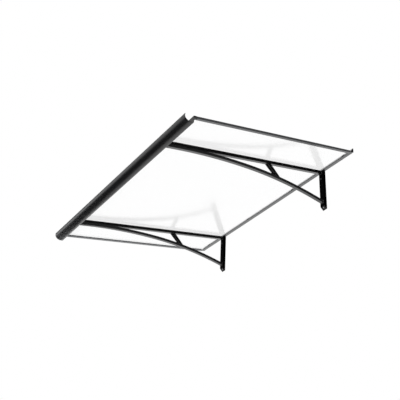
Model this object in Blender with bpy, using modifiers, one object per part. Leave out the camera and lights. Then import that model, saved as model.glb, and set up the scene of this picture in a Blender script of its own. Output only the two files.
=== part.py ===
"""Aluminium door canopy: a clear sheet between extruded profiles, with a gutter, on two steel brackets.

Metres, +Z up. The wall is the plane y = 0 and the canopy stands out from it along -Y.
The origin is the centre of the wall profile's back face.
Sections are drawn in a side view: d is the distance from the wall, z the height.
Along the sloping sheet, u runs down the sheet from the wall and w stands square to it,
with w = 0 on the sheet's underside.
"""

import math

import bmesh
import bpy
from mathutils import Matrix

# Overall sizes
WIDTH = 1.206
END_OVERHANG = 0.001
PROJECTION = 0.874
SLOPE = math.radians(11.9)
GAP = 0.0003

# Clear sheet and the rubber around its edges
SHEET_T = 0.003
RUBBER_T = 0.0006
LIP_T = 0.0020
UPPER_LIP_T = 0.0012

# Wall profile
WALL_PROFILE_H = 0.020
WALL_PROFILE_D = 0.019
WALL_FLANGE_T = 0.002
COVER_D = 0.0118
COVER_T = 0.0014
COVER_NOSE_H = 0.0016
COVER_TOP_D = 0.0036
WALL_SEAL_L = 0.008
FIXING_COUNT = 4
FIXING_EDGE = 0.060
FIXING_HOLE_D = 0.0055
FIXING_ACCESS_D = 0.012
WALL_PLUG_HEAD_D = 0.014

# Side profiles
SIDE_PROFILE_W = 0.0118
SIDE_UPPER_W = 0.005
SIDE_WEB_T = 0.0016
SIDE_LIP_T = 0.0036

# Gutter
GUTTER_W = 0.043
GUTTER_WALL_T = 0.0018
GUTTER_DROP = 0.0308
GUTTER_LIP_H = 0.0305
GUTTER_ROUND_H = 0.0227
TROUGH_TURN = math.radians(33.5)
GUTTER_BEAD_R = 0.0016
GUTTER_SLOT_L = 0.012
GUTTER_SEAL_L = 0.010
ARC_STEPS = 10
REAR_STEPS = 4

# Brackets
BRACKET_INSET = 0.201
BAR_W = 0.015
BAR_WALL_T = 0.0015
BAR_EDGE_R = 0.001
ARM_H = 0.013
PAD_W = 0.015
BRACE_H = 0.0142
BRACE_FRONT_H = 0.011
BRACE_TANGENT = 0.812
BRACE_R = 2.375
BRACE_REAR_R = 1.637
BRACE_JOIN = 0.442
BRACE_STEPS = 20
THROAT_STEPS = 4
STRUT_TOP = 0.332
STRUT_FOOT = 0.2942
STRUT_T = 0.018

# Posts
POST_W = 0.028
POST_D = 0.016
POST_H = 0.201
POST_WALL_T = 0.0018
POST_EDGE_R = 0.0014
POST_CUT_H = 0.015
POST_HOLE_DROP = 0.0422
POST_FOOT_HOLE_RISE = 0.0098
POST_ACCESS_D = 0.0074
POST_SCREW_D = 0.0055
POST_PLUG_HEAD_D = 0.010
FOOT_H = 0.030
FOOT_SEAT_D = 0.005
FOOT_PLUG_L = 0.005
PLUG_HEAD_H = 0.0014
PLUG_STEM_EXTRA = 0.0006

# Arm inserts and gutter screws
INSERT_L = 0.016
SCREW_D = 0.0042
SCREW_L = 0.016
SCREW_HEAD_D = 0.0080
SCREW_HEAD_H = 0.0026
SCREW_RISE = 0.0015
ROUND_STEPS = 24
DOME_STEPS = 4

# What follows from the sizes above
COS = math.cos(SLOPE)
SIN = math.sin(SLOPE)
TAN = math.tan(SLOPE)
LIP_TOP = -GAP
LIP_BOTTOM = LIP_TOP - LIP_T
SHEET_Z = -WALL_PROFILE_H / 2 - LIP_BOTTOM / COS
SEAL_BOTTOM = SHEET_T + GAP
SEAL_TOP = SEAL_BOTTOM + RUBBER_T
SLOT_TOP = SEAL_TOP + GAP
UPPER_LIP_TOP = SLOT_TOP + UPPER_LIP_T
ARM_TOP = LIP_BOTTOM - GAP
ARM_BOTTOM = ARM_TOP - ARM_H
BRACE_TOP = ARM_BOTTOM - GAP
BRACE_BOTTOM = BRACE_TOP - BRACE_FRONT_H
BRACE_TURN = math.asin((BRACE_TANGENT - BRACE_JOIN) / BRACE_R)
GUTTER_REAR = PROJECTION - GUTTER_W
TROUGH_R = GUTTER_W / (1.0 + math.sin(TROUGH_TURN))
ACROSS = WIDTH + 2 * END_OVERHANG


def at(u, w):
    """The side view point (d, z) of a place u down the sheet and w above its underside."""
    return (u * COS + w * SIN, SHEET_Z - u * SIN + w * COS)


def height_at(d, w):
    """The height, at distance d from the wall, of the plane w above the sheet's underside."""
    return SHEET_Z - d * TAN + w / COS


def slope_at(d, w):
    """The side view point (d, z) on the plane w above the sheet's underside."""
    return (d, height_at(d, w))


SEAL_REAR = (WALL_FLANGE_T + GAP) / COS + GAP * TAN
SHEET_REAR = SEAL_REAR + RUBBER_T + GAP
SEAL_FRONT = (GUTTER_REAR - GAP) / COS - SEAL_TOP * TAN
SHEET_FRONT = SEAL_FRONT - RUBBER_T - GAP
SLOT_LIP_END = GUTTER_REAR / COS - GUTTER_SLOT_L
SIDE_REAR = (WALL_PROFILE_D + GAP) / COS - LIP_BOTTOM * TAN
SIDE_FRONT = SLOT_LIP_END - GAP
SHEET_HALF_W = WIDTH / 2 - SIDE_WEB_T - GAP - RUBBER_T - GAP
POST_TOP = height_at(0.0, ARM_TOP)
POST_BOTTOM = POST_TOP - POST_H
POST_HOLE_Z = POST_TOP - POST_HOLE_DROP
POST_FOOT_HOLE_Z = POST_BOTTOM + POST_FOOT_HOLE_RISE


def clear_scene():
    for obj in list(bpy.data.objects):
        bpy.data.objects.remove(obj, do_unlink=True)


def new_collection(name):
    collection = bpy.data.collections.new(name)
    bpy.context.scene.collection.children.link(collection)
    return collection


clear_scene()
CANOPY = new_collection("door_canopy")
CUTTERS = new_collection("cutters")


def material(name, colour, roughness, metallic=0.0, alpha=1.0):
    mat = bpy.data.materials.new(name)
    mat.use_nodes = True
    shader = mat.node_tree.nodes["Principled BSDF"]
    shader.inputs["Base Color"].default_value = (*colour, 1.0)
    shader.inputs["Roughness"].default_value = roughness
    shader.inputs["Metallic"].default_value = metallic
    shader.inputs["Alpha"].default_value = alpha
    return mat


def add_object(name, mesh, collection=CANOPY):
    obj = bpy.data.objects.new(name, mesh)
    collection.objects.link(obj)
    if collection is CUTTERS:
        obj.hide_render = True
        obj.display_type = "WIRE"
    return obj


def mesh_from(bm, name):
    bmesh.ops.recalc_face_normals(bm, faces=bm.faces[:])
    mesh = bpy.data.meshes.new(name)
    bm.to_mesh(mesh)
    bm.free()
    return mesh


def finish(obj, look):
    """Gives a piece a material of its own and smooth round faces."""
    own = look.copy()
    own.name = obj.name
    obj.data.materials.clear()
    obj.data.materials.append(own)
    obj.data.shade_smooth()
    obj.data.set_sharp_from_angle(angle=math.radians(30))
    return obj


def section(name, outlines, length, collection=CANOPY):
    """A flat outline of (d, z) points, with its holes, drawn out along X to the length given."""
    curve = bpy.data.curves.new(name, "CURVE")
    curve.dimensions = "2D"
    curve.fill_mode = "BOTH"
    curve.extrude = length / 2
    for outline in outlines:
        spline = curve.splines.new("POLY")
        spline.points.add(len(outline) - 1)
        for point, (d, z) in zip(spline.points, outline):
            point.co = (d, z, 0.0, 1.0)
        spline.use_cyclic_u = True
    drawn = bpy.data.objects.new(name, curve)
    CUTTERS.objects.link(drawn)
    side_view = Matrix(((0, 0, -1, 0), (-1, 0, 0, 0), (0, 1, 0, 0), (0, 0, 0, 1)))
    mesh = bpy.data.meshes.new_from_object(drawn.evaluated_get(bpy.context.evaluated_depsgraph_get()))
    bpy.data.objects.remove(drawn, do_unlink=True)
    mesh.transform(side_view)
    bm = bmesh.new()
    bm.from_mesh(mesh)
    bmesh.ops.remove_doubles(bm, verts=bm.verts[:], dist=1e-6)
    bpy.data.meshes.remove(mesh)
    return add_object(name, mesh_from(bm, name), collection)


def bar(name, stations, width, collection=CANOPY):
    """A four-sided bar. Each station is its upper and its lower (d, z) point, from the front end to the wall."""
    bm = bmesh.new()
    bmesh.ops.create_cube(bm, size=1.0)
    along = [e for e in bm.edges if abs(e.verts[0].co.y - e.verts[1].co.y) > 0.5]
    if len(stations) > 2:
        bmesh.ops.subdivide_edges(bm, edges=along, cuts=len(stations) - 2, use_grid_fill=True)
    for vert in bm.verts:
        upper, lower = stations[round((vert.co.y + 0.5) * (len(stations) - 1))]
        d, z = upper if vert.co.z > 0 else lower
        vert.co = (vert.co.x * width, -d, z)
    return add_object(name, mesh_from(bm, name), collection)


def bore(name, diameter, x, start, end):
    """A round cutter whose middle line runs from one (d, z) point to another."""
    run_d = end[0] - start[0]
    run_z = end[1] - start[1]
    middle = (x, -(start[0] + end[0]) / 2, (start[1] + end[1]) / 2)
    bm = bmesh.new()
    bmesh.ops.create_cone(
        bm,
        cap_ends=True,
        segments=ROUND_STEPS,
        radius1=diameter / 2,
        radius2=diameter / 2,
        depth=math.hypot(run_d, run_z),
        matrix=Matrix.Translation(middle) @ Matrix.Rotation(math.atan2(run_d, run_z), 4, "X"),
    )
    return add_object(name, mesh_from(bm, name), CUTTERS)


def facing(x, d, z, lean):
    """The place of a turned piece whose top looks away from the wall, leaning out by the angle given."""
    return Matrix.Translation((x, -d, z)) @ Matrix.Rotation(lean, 4, "X")


def dome(radius, low, high):
    """The line of a rounded top, from its middle down to its rim."""
    turns = [math.pi / 2 * (1 - i / DOME_STEPS) for i in range(DOME_STEPS + 1)]
    return [(radius * math.cos(turn), low + (high - low) * math.sin(turn)) for turn in turns]


def turned(name, profile, place):
    """A turned piece: a profile of (radius, height) points, top to bottom, spun around Z and placed."""
    mesh = bpy.data.meshes.new(name)
    points = [(radius, 0.0, height) for radius, height in profile]
    mesh.from_pydata(points, [(i, i + 1) for i in range(len(points) - 1)], [])
    obj = add_object(name, mesh)
    obj.matrix_world = place
    spin = obj.modifiers.new("Turn", "SCREW")
    spin.axis = "Z"
    spin.angle = math.tau
    spin.steps = ROUND_STEPS
    spin.render_steps = ROUND_STEPS
    spin.use_merge_vertices = True
    spin.merge_threshold = 0.00001
    spin.use_normal_calculate = True
    spin.use_normal_flip = True
    return obj


def headed_plug(name, head_d, hole_d, wall_t, place, look):
    """A plug whose rounded head lies on a face, with its stem through the hole of a wall."""
    rim = GAP + PLUG_HEAD_H / 3
    stem_r = hole_d / 2 - GAP
    stem_end = -wall_t - PLUG_STEM_EXTRA
    profile = dome(head_d / 2, rim, GAP + PLUG_HEAD_H)
    profile += [(head_d / 2, GAP), (stem_r, GAP), (stem_r, stem_end), (0.0, stem_end)]
    return finish(turned(name, profile, place), look)


def cut(obj, cutter, name):
    boolean = obj.modifiers.new(name, "BOOLEAN")
    boolean.operation = "DIFFERENCE"
    boolean.solver = "EXACT"
    boolean.object = cutter
    return obj


def round_edges(obj, radius, steps=2):
    """Rounds the sharp edges, and leaves the shallow steps of a curve."""
    bevel = obj.modifiers.new("Edges", "BEVEL")
    bevel.width = radius
    bevel.segments = steps
    bevel.limit_method = "ANGLE"
    bevel.angle_limit = math.radians(40)
    return obj


def placed(obj, x):
    obj.location.x = x
    return obj


CLEAR_SHEET = material("clear sheet", (0.92, 0.95, 0.95), 0.05, 0.0, 0.25)
GREY_ALUMINIUM = material("dark grey aluminium", (0.045, 0.046, 0.050), 0.35, 0.6)
BLACK_STEEL = material("black coated steel", (0.010, 0.010, 0.011), 0.45)
BLACK_RUBBER = material("black rubber", (0.015, 0.015, 0.015), 0.8)
BLACK_PLASTIC = material("black plastic", (0.012, 0.012, 0.013), 0.5)
BRIGHT_STEEL = material("bright steel", (0.55, 0.55, 0.56), 0.3, 1.0)


def make_sheet():
    """The clear sheet, held on all four edges."""
    outline = [
        at(SHEET_REAR, 0.0),
        at(SHEET_FRONT, 0.0),
        at(SHEET_FRONT, SHEET_T),
        at(SHEET_REAR, SHEET_T),
    ]
    finish(section("clear_sheet", [outline], 2 * SHEET_HALF_W), CLEAR_SHEET)


def fixing_places():
    last = WIDTH / 2 - FIXING_EDGE
    return [last * (2 * i / (FIXING_COUNT - 1) - 1) for i in range(FIXING_COUNT)]


def cover_nose_z():
    """The height of the lower edge of the wall profile's sloping cover."""
    return height_at(COVER_D, SLOT_TOP) + COVER_NOSE_H


def cover_angle():
    """The angle of the sloping cover above the horizontal."""
    return math.atan2(WALL_PROFILE_H / 2 - cover_nose_z(), COVER_D - COVER_TOP_D)


def cover_middle():
    """The (d, z) point halfway down the sloping cover's outer face."""
    return ((COVER_D + COVER_TOP_D) / 2, (WALL_PROFILE_H / 2 + cover_nose_z()) / 2)


def off_cover(distance):
    """The (d, z) point straight out from the middle of the sloping cover."""
    d, z = cover_middle()
    return (d + distance * math.sin(cover_angle()), z + distance * math.cos(cover_angle()))


def wall_profile_chamber():
    """The hollow between the slot, the back and the sloping cover."""
    floor = SLOT_TOP + COVER_T
    ceiling = WALL_PROFILE_H / 2 - COVER_T
    steep = math.tan(cover_angle())
    inside = WALL_PROFILE_H / 2 + COVER_TOP_D * steep - COVER_T / math.cos(cover_angle())
    corner_d = max((inside - ceiling) / steep, WALL_FLANGE_T + GAP)
    tip_d = (inside - height_at(0.0, floor)) / (steep - TAN)
    return [
        slope_at(WALL_FLANGE_T, floor),
        slope_at(tip_d, floor),
        (corner_d, inside - corner_d * steep),
        (WALL_FLANGE_T, min(ceiling, inside - WALL_FLANGE_T * steep)),
    ]


def make_wall_profile():
    """An extrusion with a slot for the sheet, a lip under it and a sloping hollow cover above it."""
    outer = [
        slope_at(0.0, LIP_BOTTOM),
        slope_at(WALL_PROFILE_D, LIP_BOTTOM),
        slope_at(WALL_PROFILE_D, LIP_TOP),
        slope_at(WALL_FLANGE_T, LIP_TOP),
        slope_at(WALL_FLANGE_T, SLOT_TOP),
        slope_at(COVER_D, SLOT_TOP),
        (COVER_D, cover_nose_z()),
        (COVER_TOP_D, WALL_PROFILE_H / 2),
        (0.0, WALL_PROFILE_H / 2),
    ]
    profile = section("wall_profile", [outer, wall_profile_chamber()], ACROSS)
    hole_z = cover_middle()[1]
    for number, x in enumerate(fixing_places(), start=1):
        back_ends = ((-WALL_FLANGE_T, hole_z), (2 * WALL_FLANGE_T, hole_z))
        cover_ends = (off_cover(-1.3 * COVER_T), off_cover(COVER_T))
        cut(profile, bore(f"wall_screw_hole_{number}", FIXING_HOLE_D, x, *back_ends), f"Screw hole {number}")
        cut(profile, bore(f"wall_access_{number}", FIXING_ACCESS_D, x, *cover_ends), f"Access {number}")
    finish(profile, GREY_ALUMINIUM)


def make_wall_plugs():
    """Plugs over the holes in the sloping cover through which the wall screws are driven."""
    for number, x in enumerate(fixing_places(), start=1):
        place = facing(x, *cover_middle(), cover_angle())
        headed_plug(f"wall_plug_{number}", WALL_PLUG_HEAD_D, FIXING_ACCESS_D, COVER_T, place, BLACK_PLASTIC)


def make_wall_seal():
    """A rubber angle between the sheet's rear edge and the slot of the wall profile."""
    outline = [
        at(SEAL_REAR, 0.0),
        at(SEAL_REAR + RUBBER_T, 0.0),
        at(SEAL_REAR + RUBBER_T, SEAL_BOTTOM),
        at(SEAL_REAR + WALL_SEAL_L, SEAL_BOTTOM),
        at(SEAL_REAR + WALL_SEAL_L, SEAL_TOP),
        at(SEAL_REAR, SEAL_TOP),
    ]
    finish(section("wall_seal", [outline], 2 * SHEET_HALF_W), BLACK_RUBBER)


def trough_middle():
    """The centre of the trough's round, as (d, z)."""
    return PROJECTION - TROUGH_R, height_at(GUTTER_REAR, 0.0) - GUTTER_DROP + GUTTER_ROUND_H


def trough_arc(start, end, steps, inset=0.0):
    """Points of the trough's elliptic arc, from angle start to angle end, set in by inset."""
    middle, centre_z = trough_middle()
    angles = [start + i * (end - start) / steps for i in range(steps + 1)]
    radius_d = TROUGH_R - inset
    radius_z = GUTTER_ROUND_H - inset
    return [(middle + radius_d * math.cos(a), centre_z + radius_z * math.sin(a)) for a in angles]


def trough_floor(d):
    """The height of the trough's inner face at the distance d."""
    middle, centre_z = trough_middle()
    share = (d - middle) / (TROUGH_R - GUTTER_WALL_T)
    return centre_z - (GUTTER_ROUND_H - GUTTER_WALL_T) * math.sqrt(1.0 - share**2)


def gutter_outline():
    """The trough: its beaded front wall and its round bottom, as far as the rear corner."""
    lip_top = trough_middle()[1] - GUTTER_ROUND_H + GUTTER_LIP_H
    wall = GUTTER_WALL_T
    bead = GUTTER_BEAD_R
    bead_d = PROJECTION - bead
    bead_z = lip_top - bead
    down = -math.pi / 2
    inner_turn = math.asin(TROUGH_R * math.sin(TROUGH_TURN) / (TROUGH_R - wall))
    outer = trough_arc(0.0, down, ARC_STEPS) + trough_arc(down, down - TROUGH_TURN, REAR_STEPS)[1:]
    inner = trough_arc(0.0, down, ARC_STEPS, wall) + trough_arc(down, down - inner_turn, REAR_STEPS, wall)[1:]
    rise = math.sqrt(max(bead**2 - (wall - bead) ** 2, 0.0))
    start = math.atan2(-rise, bead - wall)
    turns = [start - i * (start + math.tau) / ARC_STEPS for i in range(ARC_STEPS + 1)]
    bead_line = [(bead_d + bead * math.cos(a), bead_z + bead * math.sin(a)) for a in turns]
    return outer + inner[::-1] + bead_line


def front_profile_outline():
    """The upright wall behind the trough, with the slot that takes the sheet's front edge."""
    front = GUTTER_REAR + GUTTER_WALL_T
    return [
        (GUTTER_REAR, trough_floor(GUTTER_REAR) + GAP),
        slope_at(GUTTER_REAR, LIP_BOTTOM),
        at(SLOT_LIP_END, LIP_BOTTOM),
        at(SLOT_LIP_END, LIP_TOP),
        slope_at(GUTTER_REAR, LIP_TOP),
        slope_at(GUTTER_REAR, SLOT_TOP),
        at(SLOT_LIP_END, SLOT_TOP),
        at(SLOT_LIP_END, UPPER_LIP_TOP),
        slope_at(front, UPPER_LIP_TOP),
        (front, trough_floor(front) + GAP),
    ]


def make_gutter():
    finish(section("gutter", [gutter_outline()], ACROSS), GREY_ALUMINIUM)
    profile = section("front_profile", [front_profile_outline()], ACROSS)
    for side, x in bracket_places():
        near = (GUTTER_REAR - GUTTER_WALL_T, screw_height())
        far = (GUTTER_REAR + 3 * GUTTER_WALL_T, screw_height())
        cut(profile, bore(f"front_profile_hole_{side}", SCREW_D + 2 * GAP, x, near, far), f"Screw hole {side}")
    finish(profile, GREY_ALUMINIUM)


def make_gutter_seal():
    """A rubber angle between the sheet's front edge and the slot of the gutter."""
    outline = [
        at(SEAL_FRONT - GUTTER_SEAL_L, SEAL_BOTTOM),
        at(SEAL_FRONT - RUBBER_T, SEAL_BOTTOM),
        at(SEAL_FRONT - RUBBER_T, 0.0),
        at(SEAL_FRONT, 0.0),
        at(SEAL_FRONT, SEAL_TOP),
        at(SEAL_FRONT - GUTTER_SEAL_L, SEAL_TOP),
    ]
    finish(section("gutter_seal", [outline], 2 * SHEET_HALF_W), BLACK_RUBBER)


def bar_along_sheet(name, inner_x, outer_x, low, high, overrun, sign, collection=CANOPY):
    """A straight bar along one side of the sheet, from w = low to w = high."""
    rear = SIDE_REAR - overrun
    front = SIDE_FRONT + overrun
    stations = [(at(front, high), at(front, low)), (at(rear, high), at(rear, low))]
    piece = bar(name, stations, outer_x - inner_x, collection)
    piece.location.x = sign * (inner_x + outer_x) / 2
    return piece


def make_channels(name, outer_x, depth, upper_depth, web_t, lower_t, upper_t, low, high, look):
    """A channel along each side of the sheet, open towards the middle, with a narrower upper leg."""
    for side, sign in (("left", -1), ("right", 1)):
        inner_x = outer_x - depth
        beyond_x = inner_x - depth
        whole = bar_along_sheet(f"{name}_{side}", inner_x, outer_x, low, high, 0.0, sign)
        slot_w = (low + lower_t, high - upper_t)
        slot = bar_along_sheet(
            f"{name}_slot_{side}", beyond_x, outer_x - web_t, *slot_w, depth, sign, CUTTERS
        )
        above_w = ((low + high) / 2, high + depth)
        above = bar_along_sheet(
            f"{name}_above_{side}", beyond_x, outer_x - upper_depth, *above_w, depth, sign, CUTTERS
        )
        cut(whole, slot, "Slot")
        finish(cut(whole, above, "Upper leg"), look)


def make_side_profiles():
    low = -2 * GAP - RUBBER_T - SIDE_LIP_T
    sizes = (SIDE_PROFILE_W, SIDE_UPPER_W, SIDE_WEB_T, SIDE_LIP_T, UPPER_LIP_T)
    make_channels("side_profile", WIDTH / 2, *sizes, low, UPPER_LIP_TOP, GREY_ALUMINIUM)


def make_side_seals():
    behind_web = SIDE_WEB_T + GAP
    sizes = (SIDE_PROFILE_W - behind_web, SIDE_UPPER_W - behind_web, RUBBER_T, RUBBER_T, RUBBER_T)
    low = -GAP - RUBBER_T
    make_channels("side_seal", WIDTH / 2 - behind_web, *sizes, low, SEAL_TOP, BLACK_RUBBER)


def bracket_places():
    x = WIDTH / 2 - BRACKET_INSET
    return (("left", -x), ("right", x))


def brace_arc(lean):
    """The arch where it has turned by lean: its lower face's radius and its centre as (u, w)."""
    tighter = BRACE_R - BRACE_REAR_R if lean > BRACE_TURN else 0.0
    centre_u = BRACE_TANGENT - tighter * math.sin(BRACE_TURN)
    centre_w = BRACE_BOTTOM - BRACE_R + tighter * math.cos(BRACE_TURN)
    return BRACE_R - tighter, centre_u, centre_w


def brace_lean(u):
    """The angle between the brace's upper face and the arm at u."""
    lean = math.asin(max(BRACE_TANGENT - u, 0.0) / (BRACE_R + BRACE_H))
    radius, centre_u, _ = brace_arc(lean)
    return math.asin(max(centre_u - u, 0.0) / (radius + BRACE_H))


def brace_top_at(u):
    """How high the brace's upper face lies above the sheet's underside at u."""
    radius, _, centre_w = brace_arc(brace_lean(u))
    return min(centre_w + (radius + BRACE_H) * math.cos(brace_lean(u)), BRACE_TOP)


def throat_lean():
    """How far the arch has turned where its upper face leaves the arm."""
    return math.acos(min((BRACE_R + BRACE_FRONT_H) / (BRACE_R + BRACE_H), 1.0))


def brace_station(lean, inset):
    """The brace's upper and lower point where the arch has turned by lean, each moved in by inset."""
    lower, centre_u, centre_w = brace_arc(lean)
    points = []
    for radius in (lower + BRACE_H - inset, lower + inset):
        w = centre_w + radius * math.cos(lean)
        points.append(at(centre_u - radius * math.sin(lean), min(w, BRACE_TOP - inset)))
    return tuple(points)


def brace_rear(d, inset):
    """The brace's upper and lower point where an upright plane at the distance d cuts the arch."""
    lower, centre_u, centre_w = brace_arc(brace_lean(d))
    centre_d, centre_z = at(centre_u, centre_w)
    points = []
    for radius in (lower + BRACE_H - inset, lower + inset):
        points.append((d, centre_z + math.sqrt(radius**2 - (centre_d - d) ** 2)))
    return tuple(points)


def brace_stations(inset, overrun):
    """Stations along the brace, with both ends cut upright at the gutter and at the post."""
    front_d = GUTTER_REAR - GAP + overrun
    rear_d = POST_D + GAP - overrun
    front = (slope_at(front_d, BRACE_TOP - inset), slope_at(front_d, BRACE_BOTTOM + inset))
    throat = throat_lean()
    last = brace_lean(rear_d)
    leans = [throat * i / THROAT_STEPS for i in range(THROAT_STEPS)]
    leans += [throat + (last - throat) * i / BRACE_STEPS for i in range(BRACE_STEPS + 1)]
    nearest = rear_d + BRACE_H / 2
    furthest = front_d - BRACE_H / 2
    between = [brace_station(lean, inset) for lean in leans]
    kept = [pair for pair in between if all(nearest < d < furthest for d, _ in pair)]
    return [front, *kept, brace_rear(rear_d, inset)]


def hollow(obj, inner, name):
    cut(round_edges(obj, BAR_EDGE_R), inner, name)
    return finish(obj, BLACK_STEEL)


def make_arm(side, x):
    """The straight upper tube of a bracket, from the post to the gutter."""

    def stations(inset, overrun):
        ends = []
        for d in (GUTTER_REAR - GAP + overrun, POST_D + GAP - overrun):
            ends.append((slope_at(d, ARM_TOP - inset), slope_at(d, ARM_BOTTOM + inset)))
        return ends

    arm = placed(bar(f"arm_{side}", stations(0.0, 0.0), BAR_W), x)
    inner_w = BAR_W - 2 * BAR_WALL_T
    inner = placed(bar(f"arm_hollow_{side}", stations(BAR_WALL_T, ARM_H), inner_w, CUTTERS), x)
    hollow(arm, inner, "Hollow")


def make_brace(side, x):
    """The arched lower tube, which runs flat under the arm's front end and down to the post."""
    brace = placed(bar(f"brace_{side}", brace_stations(0.0, 0.0), BAR_W), x)
    inner_w = BAR_W - 2 * BAR_WALL_T
    inner = placed(bar(f"brace_hollow_{side}", brace_stations(BAR_WALL_T, BRACE_H), inner_w, CUTTERS), x)
    hollow(brace, inner, "Hollow")


def make_strut(side, x):
    """The short slanting bar between arm and brace, cut to fit both."""
    fall = ARM_BOTTOM - brace_top_at(STRUT_FOOT)
    half = STRUT_T / 2 * math.hypot(fall, STRUT_TOP - STRUT_FOOT) / fall

    def foot(u):
        return at(u, brace_top_at(u) + GAP / math.cos(brace_lean(u)))

    front = (at(STRUT_TOP + half, ARM_BOTTOM - GAP), foot(STRUT_FOOT + half))
    rear = (at(STRUT_TOP - half, ARM_BOTTOM - GAP), foot(STRUT_FOOT - half))
    strut = placed(bar(f"strut_{side}", [front, rear], BAR_W), x)
    finish(round_edges(strut, BAR_EDGE_R), BLACK_STEEL)


def make_pad(side, x):
    """The rubber strip that the sheet rests on along the arm."""
    rear = (WALL_PROFILE_D + GAP) / COS - LIP_BOTTOM * TAN
    front = SLOT_LIP_END - GAP
    ends = [(at(u, LIP_TOP), at(u, LIP_BOTTOM)) for u in (front, rear)]
    finish(placed(bar(f"arm_pad_{side}", ends, PAD_W), x), BLACK_RUBBER)


def cut_height(d):
    """The height of the post's slanting lower end at the distance d."""
    return POST_BOTTOM + POST_CUT_H * d / POST_D


def make_post(side, x):
    """The upright tube against the wall, closed at the top, with its lower end cut to a slant."""
    front = (slope_at(POST_D, ARM_TOP), (POST_D, cut_height(POST_D)))
    rear = (slope_at(0.0, ARM_TOP), (0.0, cut_height(0.0)))
    post = placed(bar(f"post_{side}", [front, rear], POST_W), x)
    round_edges(post, POST_EDGE_R)
    inside = []
    for d in (POST_D - POST_WALL_T, POST_WALL_T):
        inside.append((slope_at(d, ARM_TOP - POST_WALL_T), (d, POST_BOTTOM - POST_W)))
    inner_w = POST_W - 2 * POST_WALL_T
    cut(post, placed(bar(f"post_hollow_{side}", inside, inner_w, CUTTERS), x), "Hollow")
    middle = POST_D / 2
    holes = (
        ("upper_access", POST_ACCESS_D, POST_HOLE_Z, middle, POST_D + middle),
        ("upper_screw", POST_SCREW_D, POST_HOLE_Z, -middle, middle),
        ("lower_access", POST_ACCESS_D, POST_FOOT_HOLE_Z, middle, POST_D + middle),
        ("lower_screw", POST_SCREW_D, POST_FOOT_HOLE_Z, -middle, middle),
    )
    for label, diameter, z, near, far in holes:
        cut(post, bore(f"post_{label}_{side}", diameter, x, (near, z), (far, z)), label)
    finish(post, BLACK_STEEL)
    place = facing(x, POST_D, POST_HOLE_Z, math.pi / 2)
    headed_plug(f"post_plug_{side}", POST_PLUG_HEAD_D, POST_ACCESS_D, POST_WALL_T, place, BLACK_PLASTIC)


def make_foot(side, x):
    """The block in the post's lower end, flush with the slant, and the plug over its screw seat."""
    wall = POST_WALL_T + GAP
    top = POST_BOTTOM + FOOT_H
    ends = [((d, top), (d, cut_height(d))) for d in (POST_D - wall, wall)]
    foot = placed(bar(f"post_foot_{side}", ends, POST_W - 2 * wall), x)
    z = POST_FOOT_HOLE_Z
    cut(foot, bore(f"foot_seat_{side}", POST_ACCESS_D, x, (FOOT_SEAT_D, z), (2 * POST_D, z)), "Seat")
    cut(foot, bore(f"foot_hole_{side}", POST_SCREW_D, x, (-POST_D, z), (POST_D, z)), "Screw hole")
    finish(foot, BLACK_PLASTIC)
    radius = POST_ACCESS_D / 2 - GAP
    base = FOOT_SEAT_D + GAP
    profile = dome(radius, FOOT_PLUG_L - PLUG_HEAD_H, FOOT_PLUG_L) + [(radius, 0.0), (0.0, 0.0)]
    finish(turned(f"foot_plug_{side}", profile, facing(x, base, z, math.pi / 2)), BLACK_PLASTIC)


def screw_height():
    """The height of the screw through the gutter's rear wall into the arm."""
    return height_at(GUTTER_REAR, (ARM_TOP + ARM_BOTTOM) / 2) + SCREW_RISE


def make_insert(side, x):
    """The threaded block in the arm's front end."""
    inset = BAR_WALL_T + GAP
    front_d = GUTTER_REAR - 2 * GAP
    ends = []
    for d in (front_d, front_d - INSERT_L):
        ends.append((slope_at(d, ARM_TOP - inset), slope_at(d, ARM_BOTTOM + inset)))
    insert = placed(bar(f"arm_insert_{side}", ends, BAR_W - 2 * inset), x)
    near = (front_d - 2 * INSERT_L, screw_height())
    far = (front_d + INSERT_L, screw_height())
    cut(insert, bore(f"insert_hole_{side}", SCREW_D + 2 * GAP, x, near, far), "Thread hole")
    finish(insert, BLACK_PLASTIC)


def make_gutter_screw(side, x):
    """The pan-head screw inside the trough that holds the gutter to the arm."""
    head_r = SCREW_HEAD_D / 2
    profile = dome(head_r, GAP + SCREW_HEAD_H / 3, GAP + SCREW_HEAD_H)
    profile += [(head_r, GAP), (SCREW_D / 2, GAP), (SCREW_D / 2, SCREW_D / 2 - SCREW_L), (0.0, -SCREW_L)]
    place = facing(x, GUTTER_REAR + GUTTER_WALL_T, screw_height(), math.pi / 2)
    finish(turned(f"gutter_screw_{side}", profile, place), BRIGHT_STEEL)


def make_brackets():
    for side, x in bracket_places():
        make_post(side, x)
        make_foot(side, x)
        make_arm(side, x)
        make_pad(side, x)
        make_brace(side, x)
        make_strut(side, x)
        make_insert(side, x)
        make_gutter_screw(side, x)


make_sheet()
make_wall_profile()
make_wall_plugs()
make_wall_seal()
make_side_profiles()
make_side_seals()
make_gutter()
make_gutter_seal()
make_brackets()
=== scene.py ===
"""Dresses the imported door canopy: fine surfaces, finishes, studio and camera."""
import math

import bmesh
import bpy
from bpy.props import FloatProperty, FloatVectorProperty, IntProperty, PointerProperty
from mathutils import Matrix, Vector


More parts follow.
